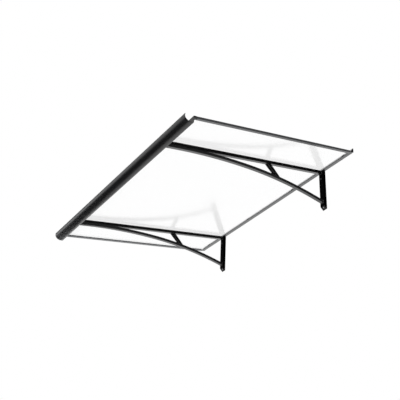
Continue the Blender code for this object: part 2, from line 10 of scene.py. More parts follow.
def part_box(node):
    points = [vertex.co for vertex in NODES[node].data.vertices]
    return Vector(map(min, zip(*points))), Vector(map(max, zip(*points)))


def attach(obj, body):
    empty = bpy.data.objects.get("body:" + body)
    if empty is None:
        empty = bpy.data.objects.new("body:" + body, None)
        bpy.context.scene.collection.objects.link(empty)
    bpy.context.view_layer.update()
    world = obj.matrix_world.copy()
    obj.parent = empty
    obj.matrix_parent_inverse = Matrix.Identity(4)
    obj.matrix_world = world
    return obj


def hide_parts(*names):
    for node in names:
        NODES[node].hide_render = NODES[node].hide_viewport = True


bl_info = {
    "name": "Door Canopy Dresser",
    "version": (1, 0, 0),
    "blender": (4, 5, 0),
    "location": "3D View > Sidebar > Canopy",
    "description": "Fine surfaces, finishes and a studio for a flat door canopy",
    "category": "Object",
}

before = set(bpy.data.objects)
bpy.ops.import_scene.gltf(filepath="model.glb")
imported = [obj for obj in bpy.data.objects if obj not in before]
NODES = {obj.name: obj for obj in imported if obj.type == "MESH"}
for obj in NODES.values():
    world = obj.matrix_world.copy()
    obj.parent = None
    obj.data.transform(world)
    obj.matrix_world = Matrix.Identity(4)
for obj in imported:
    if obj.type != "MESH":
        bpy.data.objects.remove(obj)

# Sizes shared with the solids, in metres
GAP = 0.0003
SLOPE = math.radians(11.9)
SHEET_T = 0.003
RUBBER_T = 0.0006
LIP_T = 0.0020
UPPER_LIP_T = 0.0012
WALL_PROFILE_H = 0.020
GUTTER_ROUND_H = 0.0227
GUTTER_SLOT_L = 0.012
TROUGH_TURN = math.radians(33.5)
ARM_H = 0.013
BRACE_H = 0.0142
BRACE_FRONT_H = 0.011
BRACE_TANGENT = 0.812
BRACE_R = 2.375
BRACE_REAR_R = 1.637
BRACE_JOIN = 0.442
STRUT_TOP = 0.332
STRUT_FOOT = 0.2942
STRUT_T = 0.018
SCREW_HEAD_D = 0.0080
SCREW_HEAD_H = 0.0026

# Small forms that only the scene has
MERGE_DISTANCE = 1e-6
FLAT_WITHIN = math.radians(0.3)
GUTTER_EDGE_ROUND = 0.00025
LIP_EDGE_ROUND = 0.00020
SCREW_TIP_R = 0.0016
SCREW_SHANK_R = 0.0021
RECESS_DEPTH = 0.55
# The screw head's outline: share of its radius, share of its height
HEAD_RINGS = ((1.0, 0.0), (1.0, 0.35), (0.97, 0.55), (0.88, 0.78), (0.72, 0.93), (0.52, 1.0), (0.44, 1.0))
WELD_INSET = 0.0015
WELD_STEPS = 4
# Painted light on the side profiles' inner lip faces: the width of the band and how much lighter its grey is
PAINTED_LIGHT_EDGE_W = 0.0003
PAINTED_LIGHT_GAIN = 3.6
TURNING_MARKS = 26000.0

# The studio: size and place, then the point that a lamp or card faces
FLOOR_SIZE = 24.0
GLOW_START = 3.5
GLOW_WIDTH = 4.0
LAMP_TARGET = (0.0, -0.4, -0.1)
KEY_LAMP_SIZE = 2.6
KEY_LAMP_PLACE = (-1.2, -2.6, 2.4)
FILL_LAMP_SIZE = 1.5
FILL_LAMP_PLACE = (-2.6, -1.0, -1.1)
UPRIGHT = Vector((0.0, 0.0, 1.0))
CARDS = (
    ("card_right", (3.4, 3.0), (1.55, 0.55, 0.95), (0.0, -0.4, -0.1), UPRIGHT),
    ("card_low", (2.4, 1.8), (1.6, 0.9, -0.7), (0.0, -0.3, -0.1), UPRIGHT),
    ("card_front", (2.9, 1.22), (-0.80, -1.097, -0.649), (-0.675, -0.82, -0.233), Vector((0.0, -0.832, 0.555))),
    ("card_above", (3.2, 1.1), (-1.0, -0.80, 0.7), (-1.0, -0.81, -0.1), UPRIGHT),
    ("card_under", (0.90, 0.26), (-1.12, -0.416, -0.605), (-0.39, -0.921, -0.145), Vector((0.0, 0.674, 0.739))),
)
CAMERA_LENS = 68.97
CAMERA_PLACE = (2.6318, -2.0396, -1.9602)
CAMERA_RIGHT = Vector((0.5448, 0.8377, 0.0397))
CAMERA_BACK = Vector((0.7309, -0.4511, -0.5122))

LIP_BOTTOM = -GAP - LIP_T
ARM_TOP = LIP_BOTTOM - GAP
ARM_BOTTOM = ARM_TOP - ARM_H
BRACE_TOP = ARM_BOTTOM - GAP
BRACE_BOTTOM = BRACE_TOP - BRACE_FRONT_H
BRACE_TURN = math.asin((BRACE_TANGENT - BRACE_JOIN) / BRACE_R)
SLOT_TOP = SHEET_T + GAP + RUBBER_T + GAP
UPPER_LIP_TOP = SLOT_TOP + UPPER_LIP_T
SHEET_Z = -WALL_PROFILE_H / 2 - LIP_BOTTOM / math.cos(SLOPE)
DOWNHILL = Vector((0.0, -math.cos(SLOPE), -math.sin(SLOPE)))
SQUARE = Vector((0.0, -math.sin(SLOPE), math.cos(SLOPE)))
SIDES = ("left", "right")


def on_slope(x, u, w):
    """The place u down the sheet and w above its underside."""
    return Vector((x, 0.0, SHEET_Z)) + DOWNHILL * u + SQUARE * w


def slope_height(distance, w):
    """The height, at a distance from the wall, of the plane w above the sheet's underside."""
    return SHEET_Z - distance * math.tan(SLOPE) + w / math.cos(SLOPE)


def middle_of(node):
    low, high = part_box(node)
    return (low + high) / 2


class CanopyFinishes(bpy.types.PropertyGroup):
    sheet_tint: FloatVectorProperty(
        name="Sheet tint",
        description="Colour that the clear sheet gives to what it mirrors",
        subtype="COLOR",
        size=3,
        min=0.0,
        max=1.0,
        default=(0.99, 0.995, 1.0),
    )
    sheet_haze: FloatProperty(
        name="Sheet haze",
        description="Roughness of the clear sheet's mirror image",
        min=0.0,
        max=1.0,
        default=0.15,
    )
    profile_grey: FloatVectorProperty(
        name="Profile grey",
        description="Powder coat of the profile along the wall",
        subtype="COLOR",
        size=3,
        min=0.0,
        max=1.0,
        default=(0.030, 0.031, 0.034),
    )
    side_grey: FloatVectorProperty(
        name="Side profile grey",
        description="Powder coat of the side profiles",
        subtype="COLOR",
        size=3,
        min=0.0,
        max=1.0,
        default=(0.082, 0.084, 0.088),
    )
    # A darker copy of the profiles' grey coat: painted shade on the gutter
    gutter_shaded_grey: FloatVectorProperty(
        name="Gutter grey",
        description="Powder coat of the gutter",
        subtype="COLOR",
        size=3,
        min=0.0,
        max=1.0,
        default=(0.0070, 0.0073, 0.0082),
    )
    bracket_black: FloatVectorProperty(
        name="Bracket black",
        description="Powder coat of the arms, struts and weld beads",
        subtype="COLOR",
        size=3,
        min=0.0,
        max=1.0,
        default=(0.0014, 0.0014, 0.0016),
    )
    brace_black: FloatVectorProperty(
        name="Brace black",
        description="Powder coat of the braces",
        subtype="COLOR",
        size=3,
        min=0.0,
        max=1.0,
        default=(0.020, 0.020, 0.021),
    )
    post_black: FloatVectorProperty(
        name="Post black",
        description="Powder coat of the posts",
        subtype="COLOR",
        size=3,
        min=0.0,
        max=1.0,
        default=(0.0007, 0.0007, 0.0008),
    )
    rubber_black: FloatVectorProperty(
        name="Rubber black",
        description="Seals and pads",
        subtype="COLOR",
        size=3,
        min=0.0,
        max=1.0,
        default=(0.015, 0.015, 0.015),
    )
    plastic_black: FloatVectorProperty(
        name="Plastic black",
        description="Wall and post plugs, feet and inserts",
        subtype="COLOR",
        size=3,
        min=0.0,
        max=1.0,
        default=(0.012, 0.012, 0.013),
    )
    # Painted highlight: the foot plugs are the same black plugs as on the posts' fronts, and this light grey stands
    # in for the bright spot on their domes
    plug_highlight_grey: FloatVectorProperty(
        name="Plug grey",
        description="Plugs on the posts' slanting ends",
        subtype="COLOR",
        size=3,
        min=0.0,
        max=1.0,
        default=(0.32, 0.33, 0.34),
    )
    steel_grey: FloatVectorProperty(
        name="Steel grey",
        description="Stainless steel of the gutter screws",
        subtype="COLOR",
        size=3,
        min=0.0,
        max=1.0,
        default=(0.55, 0.55, 0.56),
    )


class CanopySizes(bpy.types.PropertyGroup):
    gutter_wall: FloatProperty(
        name="Gutter wall",
        description="Wall thickness of the gutter and the front profile",
        subtype="DISTANCE",
        unit="LENGTH",
        default=0.0018,
    )
    gutter_bead: FloatProperty(
        name="Lip bead",
        description="Radius of the bead along the gutter's front lip",
        subtype="DISTANCE",
        unit="LENGTH",
        default=0.0016,
    )
    arc_steps: IntProperty(
        name="Arc steps",
        description="Steps in the trough's round",
        min=8,
        max=96,
        default=40,
    )
    gutter_corner: FloatProperty(
        name="Gutter corner",
        description="Setback of the rounded corner between the trough and its rear wall",
        subtype="DISTANCE",
        unit="LENGTH",
        default=0.0010,
    )
    weld_radius: FloatProperty(
        name="Weld radius",
        description="Radius of the weld beads on the brackets",
        subtype="DISTANCE",
        unit="LENGTH",
        default=0.0015,
    )
    weld_pitch: FloatProperty(
        name="Weld ripple",
        description="Distance from one ripple of a weld bead to the next",
        subtype="DISTANCE",
        unit="LENGTH",
        default=0.0022,
    )


class CanopyStudio(bpy.types.PropertyGroup):
    ambient: FloatProperty(
        name="Ambient",
        description="Strength of the soft light from all round",
        min=0.0,
        max=2.0,
        default=0.55,
    )
    key_power: FloatProperty(
        name="Key lamp",
        description="Power of the large lamp above and in front",
        subtype="POWER",
        unit="POWER",
        min=0.0,
        default=70.0,
    )
    fill_power: FloatProperty(
        name="Fill lamp",
        description="Power of the large lamp below and to the left",
        subtype="POWER",
        unit="POWER",
        min=0.0,
        default=50.0,
    )
    floor_height: FloatProperty(
        name="Floor height",
        description="Height of the floor below the canopy's wall profile",
        subtype="DISTANCE",
        unit="LENGTH",
        default=-2.3,
    )


class Value:
    """A shader value that adds a Math node for each sum it is used in."""

    def __init__(self, finish, socket):
        self.finish = finish
        self.socket = socket

    def math(self, operation, *values):
        node = self.finish.node("ShaderNodeMath", {"operation": operation}, dict(enumerate(values)))
        return Value(self.finish, node.outputs[0])

    def __add__(self, other):
        return self.math("ADD", self, other)

    def __radd__(self, other):
        return self.math("ADD", other, self)

    def __sub__(self, other):
        return self.math("SUBTRACT", self, other)

    def __rsub__(self, other):
        return self.math("SUBTRACT", other, self)

    def __mul__(self, other):
        return self.math("MULTIPLY", self, other)

    def __rmul__(self, other):
        return self.math("MULTIPLY", other, self)

    def __truediv__(self, other):
        return self.math("DIVIDE", self, other)

    def __pow__(self, other):
        return self.math("POWER", self, other)

    def at_most(self, other):
        return self.math("MINIMUM", self, other)

    def at_least(self, other):
        return self.math("MAXIMUM", self, other)

    def below(self, other):
        """1 where this value is less than the other, else 0."""
        return self.math("LESS_THAN", self, other)

    def unsigned(self):
        return self.math("ABSOLUTE", self)

    def sine(self):
        return self.math("SINE", self)


class Finish:
    """A node tree for one finish, on a material or a world."""

    def __init__(self, owner):
        self.owner = owner
        owner.use_nodes = True
        self.tree = owner.node_tree
        self.tree.nodes.clear()

    def node(self, kind, settings=None, inputs=None):
        """Adds a node: its type, its settings, then the values or links of its sockets."""
        node = self.tree.nodes.new(kind)
        for key, value in (settings or {}).items():
            if key == "stops":
                first, last = node.color_ramp.elements[0], node.color_ramp.elements[-1]
                first.position, first.color = value[0]
                last.position, last.color = value[-1]
                for place, colour in value[1:-1]:
                    node.color_ramp.elements.new(place).color = colour
            else:
                setattr(node, key, value)
        for key, value in (inputs or {}).items():
            socket = node.inputs[key]
            if isinstance(value, Value):
                self.tree.links.new(value.socket, socket)
            elif isinstance(value, bpy.types.NodeSocket):
                self.tree.links.new(value, socket)
            else:
                socket.default_value = value
        return node

    def value(self, node, output=0):
        return Value(self, node.outputs[output])

    def place(self, rotation=(0.0, 0.0, 0.0), scale=(1.0, 1.0, 1.0), location=(0.0, 0.0, 0.0)):
        """Object coordinates, turned and stretched for a pattern."""
        coordinates = self.node("ShaderNodeTexCoord").outputs["Object"]
        mapping = self.node(
            "ShaderNodeMapping",
            {"vector_type": "POINT"},
            {"Vector": coordinates, "Location": location, "Rotation": rotation, "Scale": scale},
        )
        return mapping.outputs[0]

    def noise(self, place, scale, detail=3.0, roughness=0.55):
        node = self.node(
            "ShaderNodeTexNoise",
            {"noise_dimensions": "3D"},
            {"Vector": place, "Scale": scale, "Detail": detail, "Roughness": roughness},
        )
        return self.value(node, "Fac")

    def blend(self, factor, first, second):
        """A colour between two, through a Mix node."""
        node = self.node("ShaderNodeMix", {"data_type": "RGBA"}, {0: factor, 6: first, 7: second})
        return node.outputs[2]

    def bump(self, height, distance, strength=1.0, normal=None):
        inputs = {"Strength": strength, "Distance": distance, "Height": height}
        if normal is not None:
            inputs["Normal"] = normal
        return self.node("ShaderNodeBump", None, inputs).outputs[0]

    def surface(self, inputs):
        shader = self.node("ShaderNodeBsdfPrincipled", None, inputs)
        self.node("ShaderNodeOutputMaterial", None, {"Surface": shader.outputs[0]})
        return self.owner


def opaque(colour, factor=1.0):
    return (colour[0] * factor, colour[1] * factor, colour[2] * factor, 1.0)


def powder_coat(name, colour, gloss=0.30, specular=0.5, coat=0.0):
    """Baked powder: an orange peel of shallow dimples and a slightly uneven gloss."""
    finish = Finish(bpy.data.materials.new(name))
    place = finish.place()
    cloud = finish.noise(place, 9.0, 2.0)
    peel = finish.noise(place, 520.0, 2.0, 0.4)
    speck = finish.noise(place, 2100.0, 1.0)
    return finish.surface({
        "Base Color": finish.blend(cloud, opaque(colour, 0.82), opaque(colour, 1.18)),
        "Roughness": gloss - 0.03 + cloud * 0.05 + speck * 0.03,
        "Metallic": 0.0,
        "Specular IOR Level": specular,
        "Coat Weight": coat,
        "Coat Roughness": gloss,
        "Normal": finish.bump(peel, 0.00008, 0.35),
    })


def extrusion_coat(name, colour, turn=0.0, gloss=0.28, coat=0.6, along_y=False, painted_light_within=0.0):
    """Coated extruded aluminium: faint die lines along the profile under the coat's peel.

    Faces that lie within the given distance of the canopy's middle get a lighter grey: painted light on the side
    profiles' inner lip faces, which the lamps leave dark.
    """
    finish = Finish(bpy.data.materials.new(name))
    stretch = (700.0, 3.0, 700.0) if along_y else (3.0, 700.0, 700.0)
    lines = finish.noise(finish.place((turn, 0.0, 0.0), stretch), 1.0, 2.0, 0.6)
    place = finish.place()
    cloud = finish.noise(place, 7.0, 2.0)
    peel = finish.noise(place, 480.0, 2.0, 0.4)
    height = peel * 0.6 + lines * 0.4
    base = finish.blend(cloud * 0.7 + lines * 0.3, opaque(colour, 0.85), opaque(colour, 1.15))
    # Painted light: faces near the middle get a lighter grey in place of the light that they lack
    if painted_light_within:
        parts = finish.node("ShaderNodeSeparateXYZ", None, {0: place})
        painted_light = finish.value(parts, "X").unsigned().below(painted_light_within)
        base = finish.blend(painted_light * (0.85 + lines * 0.3), base, opaque(colour, PAINTED_LIGHT_GAIN))
    return finish.surface({
        "Base Color": base,
        "Roughness": gloss - 0.04 + cloud * 0.04 + lines * 0.05,
        "Metallic": 0.0,
        "Specular IOR Level": 0.5,
        "Coat Weight": coat,
        "Coat Roughness": gloss,
        "Normal": finish.bump(height, 0.00008, 0.35),
    })


def clear_plastic(name, tint, haze):
    """A clear sheet: it mirrors what grazes it, and lets the rest of the light through."""
    finish = Finish(bpy.data.materials.new(name))
    facing = finish.value(finish.node("ShaderNodeLayerWeight", None, {"Blend": 0.5}), "Facing")
    mirror = 0.02 + facing ** 3.0 * 0.36
    draw = finish.noise(finish.place((-SLOPE, 0.0, 0.0), (40.0, 1.5, 40.0)), 1.0, 2.0)
    wave = finish.noise(finish.place(), 3.5, 1.0)
    return finish.surface({
        "Base Color": opaque(tint),
        "Metallic": 1.0,
        "Roughness": haze - 0.015 + draw * 0.03,
        "Alpha": (mirror + 0.012).at_most(1.0),
        "Normal": finish.bump(wave * 0.9 + draw * 0.1, 0.0004, 0.05),
    })


def rubber(name, colour):
    """Black sealing rubber: matt, with a fine mould grain."""
    finish = Finish(bpy.data.materials.new(name))
    place = finish.place()
    grain = finish.noise(place, 1600.0, 3.0, 0.7)
    cloud = finish.noise(place, 30.0, 2.0)
    return finish.surface({
        "Base Color": finish.blend(cloud, opaque(colour, 0.7), opaque(colour, 1.4)),
        "Roughness": 0.60 + cloud * 0.15,
        "Specular IOR Level": 0.35,
        "Normal": finish.bump(grain, 0.00006, 0.5),
    })


def moulded_plastic(name, colour):
    """Moulded plastic: smooth, with a faint spark-eroded texture."""
    finish = Finish(bpy.data.materials.new(name))
    place = finish.place()
    grain = finish.noise(place, 1300.0, 2.0, 0.6)
    cloud = finish.noise(place, 45.0, 2.0)
    return finish.surface({
        "Base Color": finish.blend(cloud, opaque(colour, 0.8), opaque(colour, 1.25)),
        "Roughness": 0.30 + grain * 0.12,
        "Specular IOR Level": 0.5,
        "Normal": finish.bump(grain, 0.00004, 0.4),
    })


def turned_steel(name, colour):
    """Stainless screw heads, with fine rings around each screw."""
    finish = Finish(bpy.data.materials.new(name))
    centre = middle_of("gutter_screw_right")
    coordinates = finish.node("ShaderNodeTexCoord").outputs["Object"]
    parts = finish.node("ShaderNodeSeparateXYZ", None, {0: coordinates})
    across = finish.value(parts, "X").unsigned() - centre.x
    above = finish.value(parts, "Z") - centre.z
    radius = (across * across + above * above) ** 0.5
    rings = (radius * TURNING_MARKS).sine()
    cloud = finish.noise(finish.place(), 400.0, 2.0)
    return finish.surface({
        "Base Color": finish.blend(cloud, opaque(colour, 0.85), opaque(colour, 1.1)),
        "Metallic": 1.0,
        "Roughness": 0.22 + cloud * 0.12,
        "Normal": finish.bump(rings, 0.00001, 0.5),
    })


def look(kind):
    """The finish of that kind, made at its first use."""
    colours = bpy.context.scene.canopy_finishes
    made = bpy.data.materials.get(kind)
    if made is not None:
        return made
    if kind == "clear polycarbonate":
        return clear_plastic(kind, colours.sheet_tint, colours.sheet_haze)
    if kind == "grey extrusion across":
        return extrusion_coat(kind, colours.profile_grey)
    if kind == "grey extrusion along":
        # The side profiles' inner lip faces, which get painted light
        low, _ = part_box("side_profile_right")
        edge = low.x + PAINTED_LIGHT_EDGE_W
        return extrusion_coat(kind, colours.side_grey, turn=-SLOPE, coat=0.45, along_y=True, painted_light_within=edge)
    if kind == "shaded grey gutter coat":
        # The gutter's coat with its darker grey, which is painted shade
        return extrusion_coat(kind, colours.gutter_shaded_grey, gloss=0.36, coat=0.5)
    if kind == "black powder coat":
        return powder_coat(kind, colours.bracket_black, specular=0.6, coat=1.0)
    if kind == "brace powder coat":
        return powder_coat(kind, colours.brace_black, coat=1.0)
    if kind == "dull black powder coat":
        return powder_coat(kind, colours.post_black, specular=0.03)
    if kind == "sealing rubber":
        return rubber(kind, colours.rubber_black)
    if kind == "black moulded plastic":
        return moulded_plastic(kind, colours.plastic_black)
    if kind == "highlight grey moulded plastic":
        return moulded_plastic(kind, colours.plug_highlight_grey)
    if kind == "stainless steel":
        return turned_steel(kind, colours.steel_grey)
    raise ValueError(f"no finish is called {kind}")


def dress(node, kind):
    """Gives a carried node its finish."""
    obj = NODES[node]
    obj.data.materials.clear()
    obj.data.materials.append(look(kind))


def keep_piece(name, bm, kind, nodes=(), smooth=35.0):
    """Turns a mesh in the making into a finished piece on the body."""
    mesh = bpy.data.meshes.new(name)
    bm.to_mesh(mesh)
    bm.free()
    mesh.shade_smooth()
    mesh.set_sharp_from_angle(angle=math.radians(smooth))
    mesh.materials.append(look(kind))
    piece = bpy.data.objects.new(name, mesh)
    bpy.context.scene.collection.objects.link(piece)
    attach(piece, "root")
    if nodes:
        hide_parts(*nodes)
    return piece


def fine_copy(node, kind, smooth=35.0):
    """A merged copy of a node, with smooth shading over its rounded edges."""
    bm = bmesh.new()
    bm.from_mesh(NODES[node].data)
    bmesh.ops.remove_doubles(bm, verts=bm.verts[:], dist=MERGE_DISTANCE)
    bmesh.ops.dissolve_limit(bm, angle_limit=FLAT_WITHIN, verts=bm.verts[:], edges=bm.edges[:])
    piece = keep_piece(f"{node}_skin", bm, kind, (node,), smooth)
    weights = piece.modifiers.new("Flat faces stay flat", "WEIGHTED_NORMAL")
    weights.keep_sharp = True
    return piece


def ease_sharp_edges(bm, offset, least=50.0):
    """A small round on every sharp edge."""
    sharp = [e for e in bm.edges if len(e.link_faces) == 2 and e.calc_face_angle(0.0) > math.radians(least)]
    bmesh.ops.bevel(
        bm, geom=sharp, offset=offset, offset_type="OFFSET", segments=2, profile=0.5, affect="EDGES", material=-1
    )


def long_box(bm, low_x, high_x, u_ends, w_ends):
    """A straight strip across the canopy, between two places down the sheet and two above it."""
    middle = on_slope((low_x + high_x) / 2, sum(u_ends) / 2, sum(w_ends) / 2)
    size = Vector((high_x - low_x, abs(u_ends[1] - u_ends[0]), abs(w_ends[1] - w_ends[0])))
    turn = Matrix.Rotation(SLOPE, 4, "X")
    place = Matrix.Translation(middle) @ turn @ Matrix.Diagonal(size.to_4d())
    return bmesh.ops.create_cube(bm, size=1.0, matrix=place)["verts"]


def add_mesh(bm, other):
    """Joins another mesh in the making to this one."""
    mesh = bpy.data.meshes.new("joined")
    other.to_mesh(mesh)
    other.free()
    bm.from_mesh(mesh)
    bpy.data.meshes.remove(mesh)


def arc_of_trough(bm, start, centre, turn, steps):
    """Spins a point around the trough's middle and returns the last point."""
    spun = bmesh.ops.spin(
        bm,
        geom=[start],
        cent=centre,
        axis=(1.0, 0.0, 0.0),
        angle=turn,
        steps=steps,
        use_merge=False,
        use_duplicate=False,
    )
    last = [g for g in spun["geom_last"] if isinstance(g, bmesh.types.BMVert)][0]
    return last


def widen(verts, middle_y, factor):
    for vert in verts:
        vert.co.y = middle_y + (vert.co.y - middle_y) * factor


def draw_out(bm, low_x, high_x, wall, corner):
    """Draws the outline at x = low_x out to high_x, rounds its corner and gives it a wall on the inside."""
    grown = bmesh.ops.extrude_edge_only(bm, edges=bm.edges[:])
    moved = [g for g in grown["geom"] if isinstance(g, bmesh.types.BMVert)]
    bmesh.ops.translate(bm, verts=moved, vec=(high_x - low_x, 0.0, 0.0))
    bm.normal_update()
    lowest = min(bm.faces, key=lambda face: face.calc_center_median().z)
    if lowest.normal.z > 0.0:
        bmesh.ops.reverse_faces(bm, faces=bm.faces[:])
    bm.normal_update()
    sharp = [e for e in bm.edges if len(e.link_faces) == 2 and e.calc_face_angle(0.0) > math.radians(30)]
    bmesh.ops.bevel(
        bm, geom=sharp, offset=corner, offset_type="OFFSET", segments=5, profile=0.5, affect="EDGES", material=-1
    )
    bmesh.ops.solidify(bm, geom=bm.faces[:], thickness=wall)
    bmesh.ops.recalc_face_normals(bm, faces=bm.faces[:])


def gutter_mesh(sizes):
    """The gutter's extrusion: beaded lip, round trough, rear wall and the two lips on the sheet's edge."""
    low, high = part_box("gutter")
    trough_r = (high.y - low.y) / (1.0 + math.sin(TROUGH_TURN))
    middle_y = low.y + trough_r
    centre = Vector((low.x, middle_y, low.z + GUTTER_ROUND_H))
    bm = bmesh.new()
    start = bm.verts.new((low.x, middle_y - GUTTER_ROUND_H, centre.z))
    corner = arc_of_trough(bm, start, centre, math.pi / 2 + TROUGH_TURN, sizes.arc_steps)
    widen(bm.verts, middle_y, trough_r / GUTTER_ROUND_H)
    bead_z = high.z - sizes.gutter_bead
    lip = bmesh.ops.extrude_vert_indiv(bm, verts=[start])["verts"]
    bmesh.ops.translate(bm, verts=lip, vec=(0.0, 0.0, bead_z - centre.z))
    ridge = slope_height(-high.y, UPPER_LIP_TOP)
    raised = bmesh.ops.extrude_vert_indiv(bm, verts=[corner])["verts"]
    bmesh.ops.translate(bm, verts=raised, vec=(0.0, 0.0, ridge - corner.co.z))
    draw_out(bm, low.x, high.x, sizes.gutter_wall, sizes.gutter_corner)
    for vert in bm.verts:
        if vert.co.z > ridge - sizes.gutter_wall and vert.co.y > middle_y:
            vert.co.z = slope_height(-vert.co.y, UPPER_LIP_TOP)
    ease_sharp_edges(bm, GUTTER_EDGE_ROUND)
    front_u = -high.y / math.cos(SLOPE)
    lip_ends = (front_u - GUTTER_SLOT_L, front_u + sizes.gutter_wall / 2)
    for w_ends in ((LIP_BOTTOM, LIP_BOTTOM + LIP_T), (SLOT_TOP, UPPER_LIP_TOP)):
        strip = bmesh.new()
        long_box(strip, low.x, high.x, lip_ends, w_ends)
        ease_sharp_edges(strip, LIP_EDGE_ROUND)
        add_mesh(bm, strip)
    rod = bmesh.new()
    ring = bmesh.ops.create_circle(rod, cap_ends=True, cap_tris=False, segments=28, radius=sizes.gutter_bead)["verts"]
    bmesh.ops.rotate(rod, verts=ring, cent=(0.0, 0.0, 0.0), matrix=Matrix.Rotation(math.pi / 2, 3, "Y"))
    bmesh.ops.translate(rod, verts=ring, vec=(low.x, low.y + sizes.gutter_bead, bead_z))
    drawn = bmesh.ops.extrude_face_region(rod, geom=rod.faces[:])["geom"]
    ends = [g for g in drawn if isinstance(g, bmesh.types.BMVert)]
    bmesh.ops.translate(rod, verts=ends, vec=(high.x - low.x, 0.0, 0.0))
    bmesh.ops.recalc_face_normals(rod, faces=rod.faces[:])
    add_mesh(bm, rod)
    return bm


def screw_mesh(side):
    """A pan head with a six-lobed recess, and its shank through the front profile into the arm."""
    centre = middle_of(f"gutter_screw_{side}")
    low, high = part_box(f"gutter_screw_{side}")
    head_r = SCREW_HEAD_D / 2
    bm = bmesh.new()
    bmesh.ops.create_circle(bm, cap_ends=True, cap_tris=False, segments=24, radius=head_r)
    face = bm.faces[:][0]
    for (before, low_part), (radius, part) in zip(HEAD_RINGS, HEAD_RINGS[1:]):
        grown = bmesh.ops.extrude_face_region(bm, geom=[face])["geom"]
        face = [g for g in grown if isinstance(g, bmesh.types.BMFace)][0]
        bmesh.ops.translate(bm, verts=face.verts[:], vec=(0.0, 0.0, (part - low_part) * SCREW_HEAD_H))
        bmesh.ops.scale(bm, verts=face.verts[:], vec=(radius / before, radius / before, 1.0))
    # Six lobes: each fourth corner is drawn in furthest
    for number, vert in enumerate(face.verts):
        waist = 0.74 if number % 4 == 2 else 0.9 if number % 2 else 1.0
        vert.co.x *= waist
        vert.co.y *= waist
    grown = bmesh.ops.extrude_face_region(bm, geom=[face])["geom"]
    face = [g for g in grown if isinstance(g, bmesh.types.BMFace)][0]
    bmesh.ops.translate(bm, verts=face.verts[:], vec=(0.0, 0.0, -RECESS_DEPTH * SCREW_HEAD_H))
    shank = high.y - low.y - SCREW_HEAD_H
    place = Matrix.Translation((0.0, 0.0, -shank / 2))
    bmesh.ops.create_cone(
        bm, cap_ends=True, segments=20, radius1=SCREW_TIP_R, radius2=SCREW_SHANK_R, depth=shank, matrix=place
    )
    bmesh.ops.recalc_face_normals(bm, faces=bm.faces[:])
    turn = Matrix.Rotation(math.pi / 2, 4, "X")
    seat = Vector((centre.x, low.y + SCREW_HEAD_H, centre.z))
    bmesh.ops.transform(bm, verts=bm.verts[:], matrix=Matrix.Translation(seat) @ turn)
    return bm


def bead(name, paths, sizes):
    """Weld beads along open paths, with the ripples of the torch."""
    curve = bpy.data.curves.new(name, "CURVE")
    curve.dimensions = "3D"
    curve.bevel_depth = sizes.weld_radius
    curve.bevel_resolution = 2
    curve.use_fill_caps = True
    for path in paths:
        points = []
        for first, second in zip(path, path[1:]):
            steps = max(1, round((second - first).length / (sizes.weld_pitch / WELD_STEPS)))
            points += [first.lerp(second, i / steps) for i in range(steps)]
        points.append(path[-1])
        spline = curve.splines.new("POLY")
        spline.points.add(len(points) - 1)
        for number, (point, co) in enumerate(zip(spline.points, points)):
            point.co = co.to_4d()
            taper = min(1.0, 0.55 + 0.2 * min(number, len(points) - 1 - number))
            point.radius = taper * (0.88 + 0.12 * abs(math.sin(number * math.pi / WELD_STEPS)))
    drawn = bpy.data.objects.new(name, curve)
    bpy.context.scene.collection.objects.link(drawn)
    mesh = bpy.data.meshes.new_from_object(drawn.evaluated_get(bpy.context.evaluated_depsgraph_get()))
    bpy.data.objects.remove(drawn, do_unlink=True)
    bm = bmesh.new()
    bm.from_mesh(mesh)
    bpy.data.meshes.remove(mesh)
    bmesh.ops.remove_doubles(bm, verts=bm.verts[:], dist=MERGE_DISTANCE)
    bmesh.ops.recalc_face_normals(bm, faces=bm.faces[:])
    return bm


def brace_arc(lean):
    """The arch where it has turned by lean: its lower face's radius and its centre as (u, w)."""
    tighter = BRACE_R - BRACE_REAR_R if lean > BRACE_TURN else 0.0
    centre_u = BRACE_TANGENT - tighter * math.sin(BRACE_TURN)
    centre_w = BRACE_BOTTOM - BRACE_R + tighter * math.cos(BRACE_TURN)
    return BRACE_R - tighter, centre_u, centre_w


def brace_lean(u):
    """The angle between the brace's upper face and the arm at u."""
    lean = math.asin(max(BRACE_TANGENT - u, 0.0) / (BRACE_R + BRACE_H))
    radius, centre_u, _ = brace_arc(lean)
    return math.asin(max(centre_u - u, 0.0) / (radius + BRACE_H))


def brace_top_at(u):
    """How high the brace's upper face lies above the sheet's underside at u."""
    radius, _, centre_w = brace_arc(brace_lean(u))
    return centre_w + (radius + BRACE_H) * math.cos(brace_lean(u))


def brace_height_at(distance, above):
    """The height, at a distance from the wall, of the brace's line that lies above its lower face."""
    radius, centre_u, centre_w = brace_arc(brace_lean(distance))
    centre = on_slope(0.0, centre_u, centre_w)
    return centre.z + math.sqrt((radius + above) ** 2 - (centre.y + distance) ** 2)


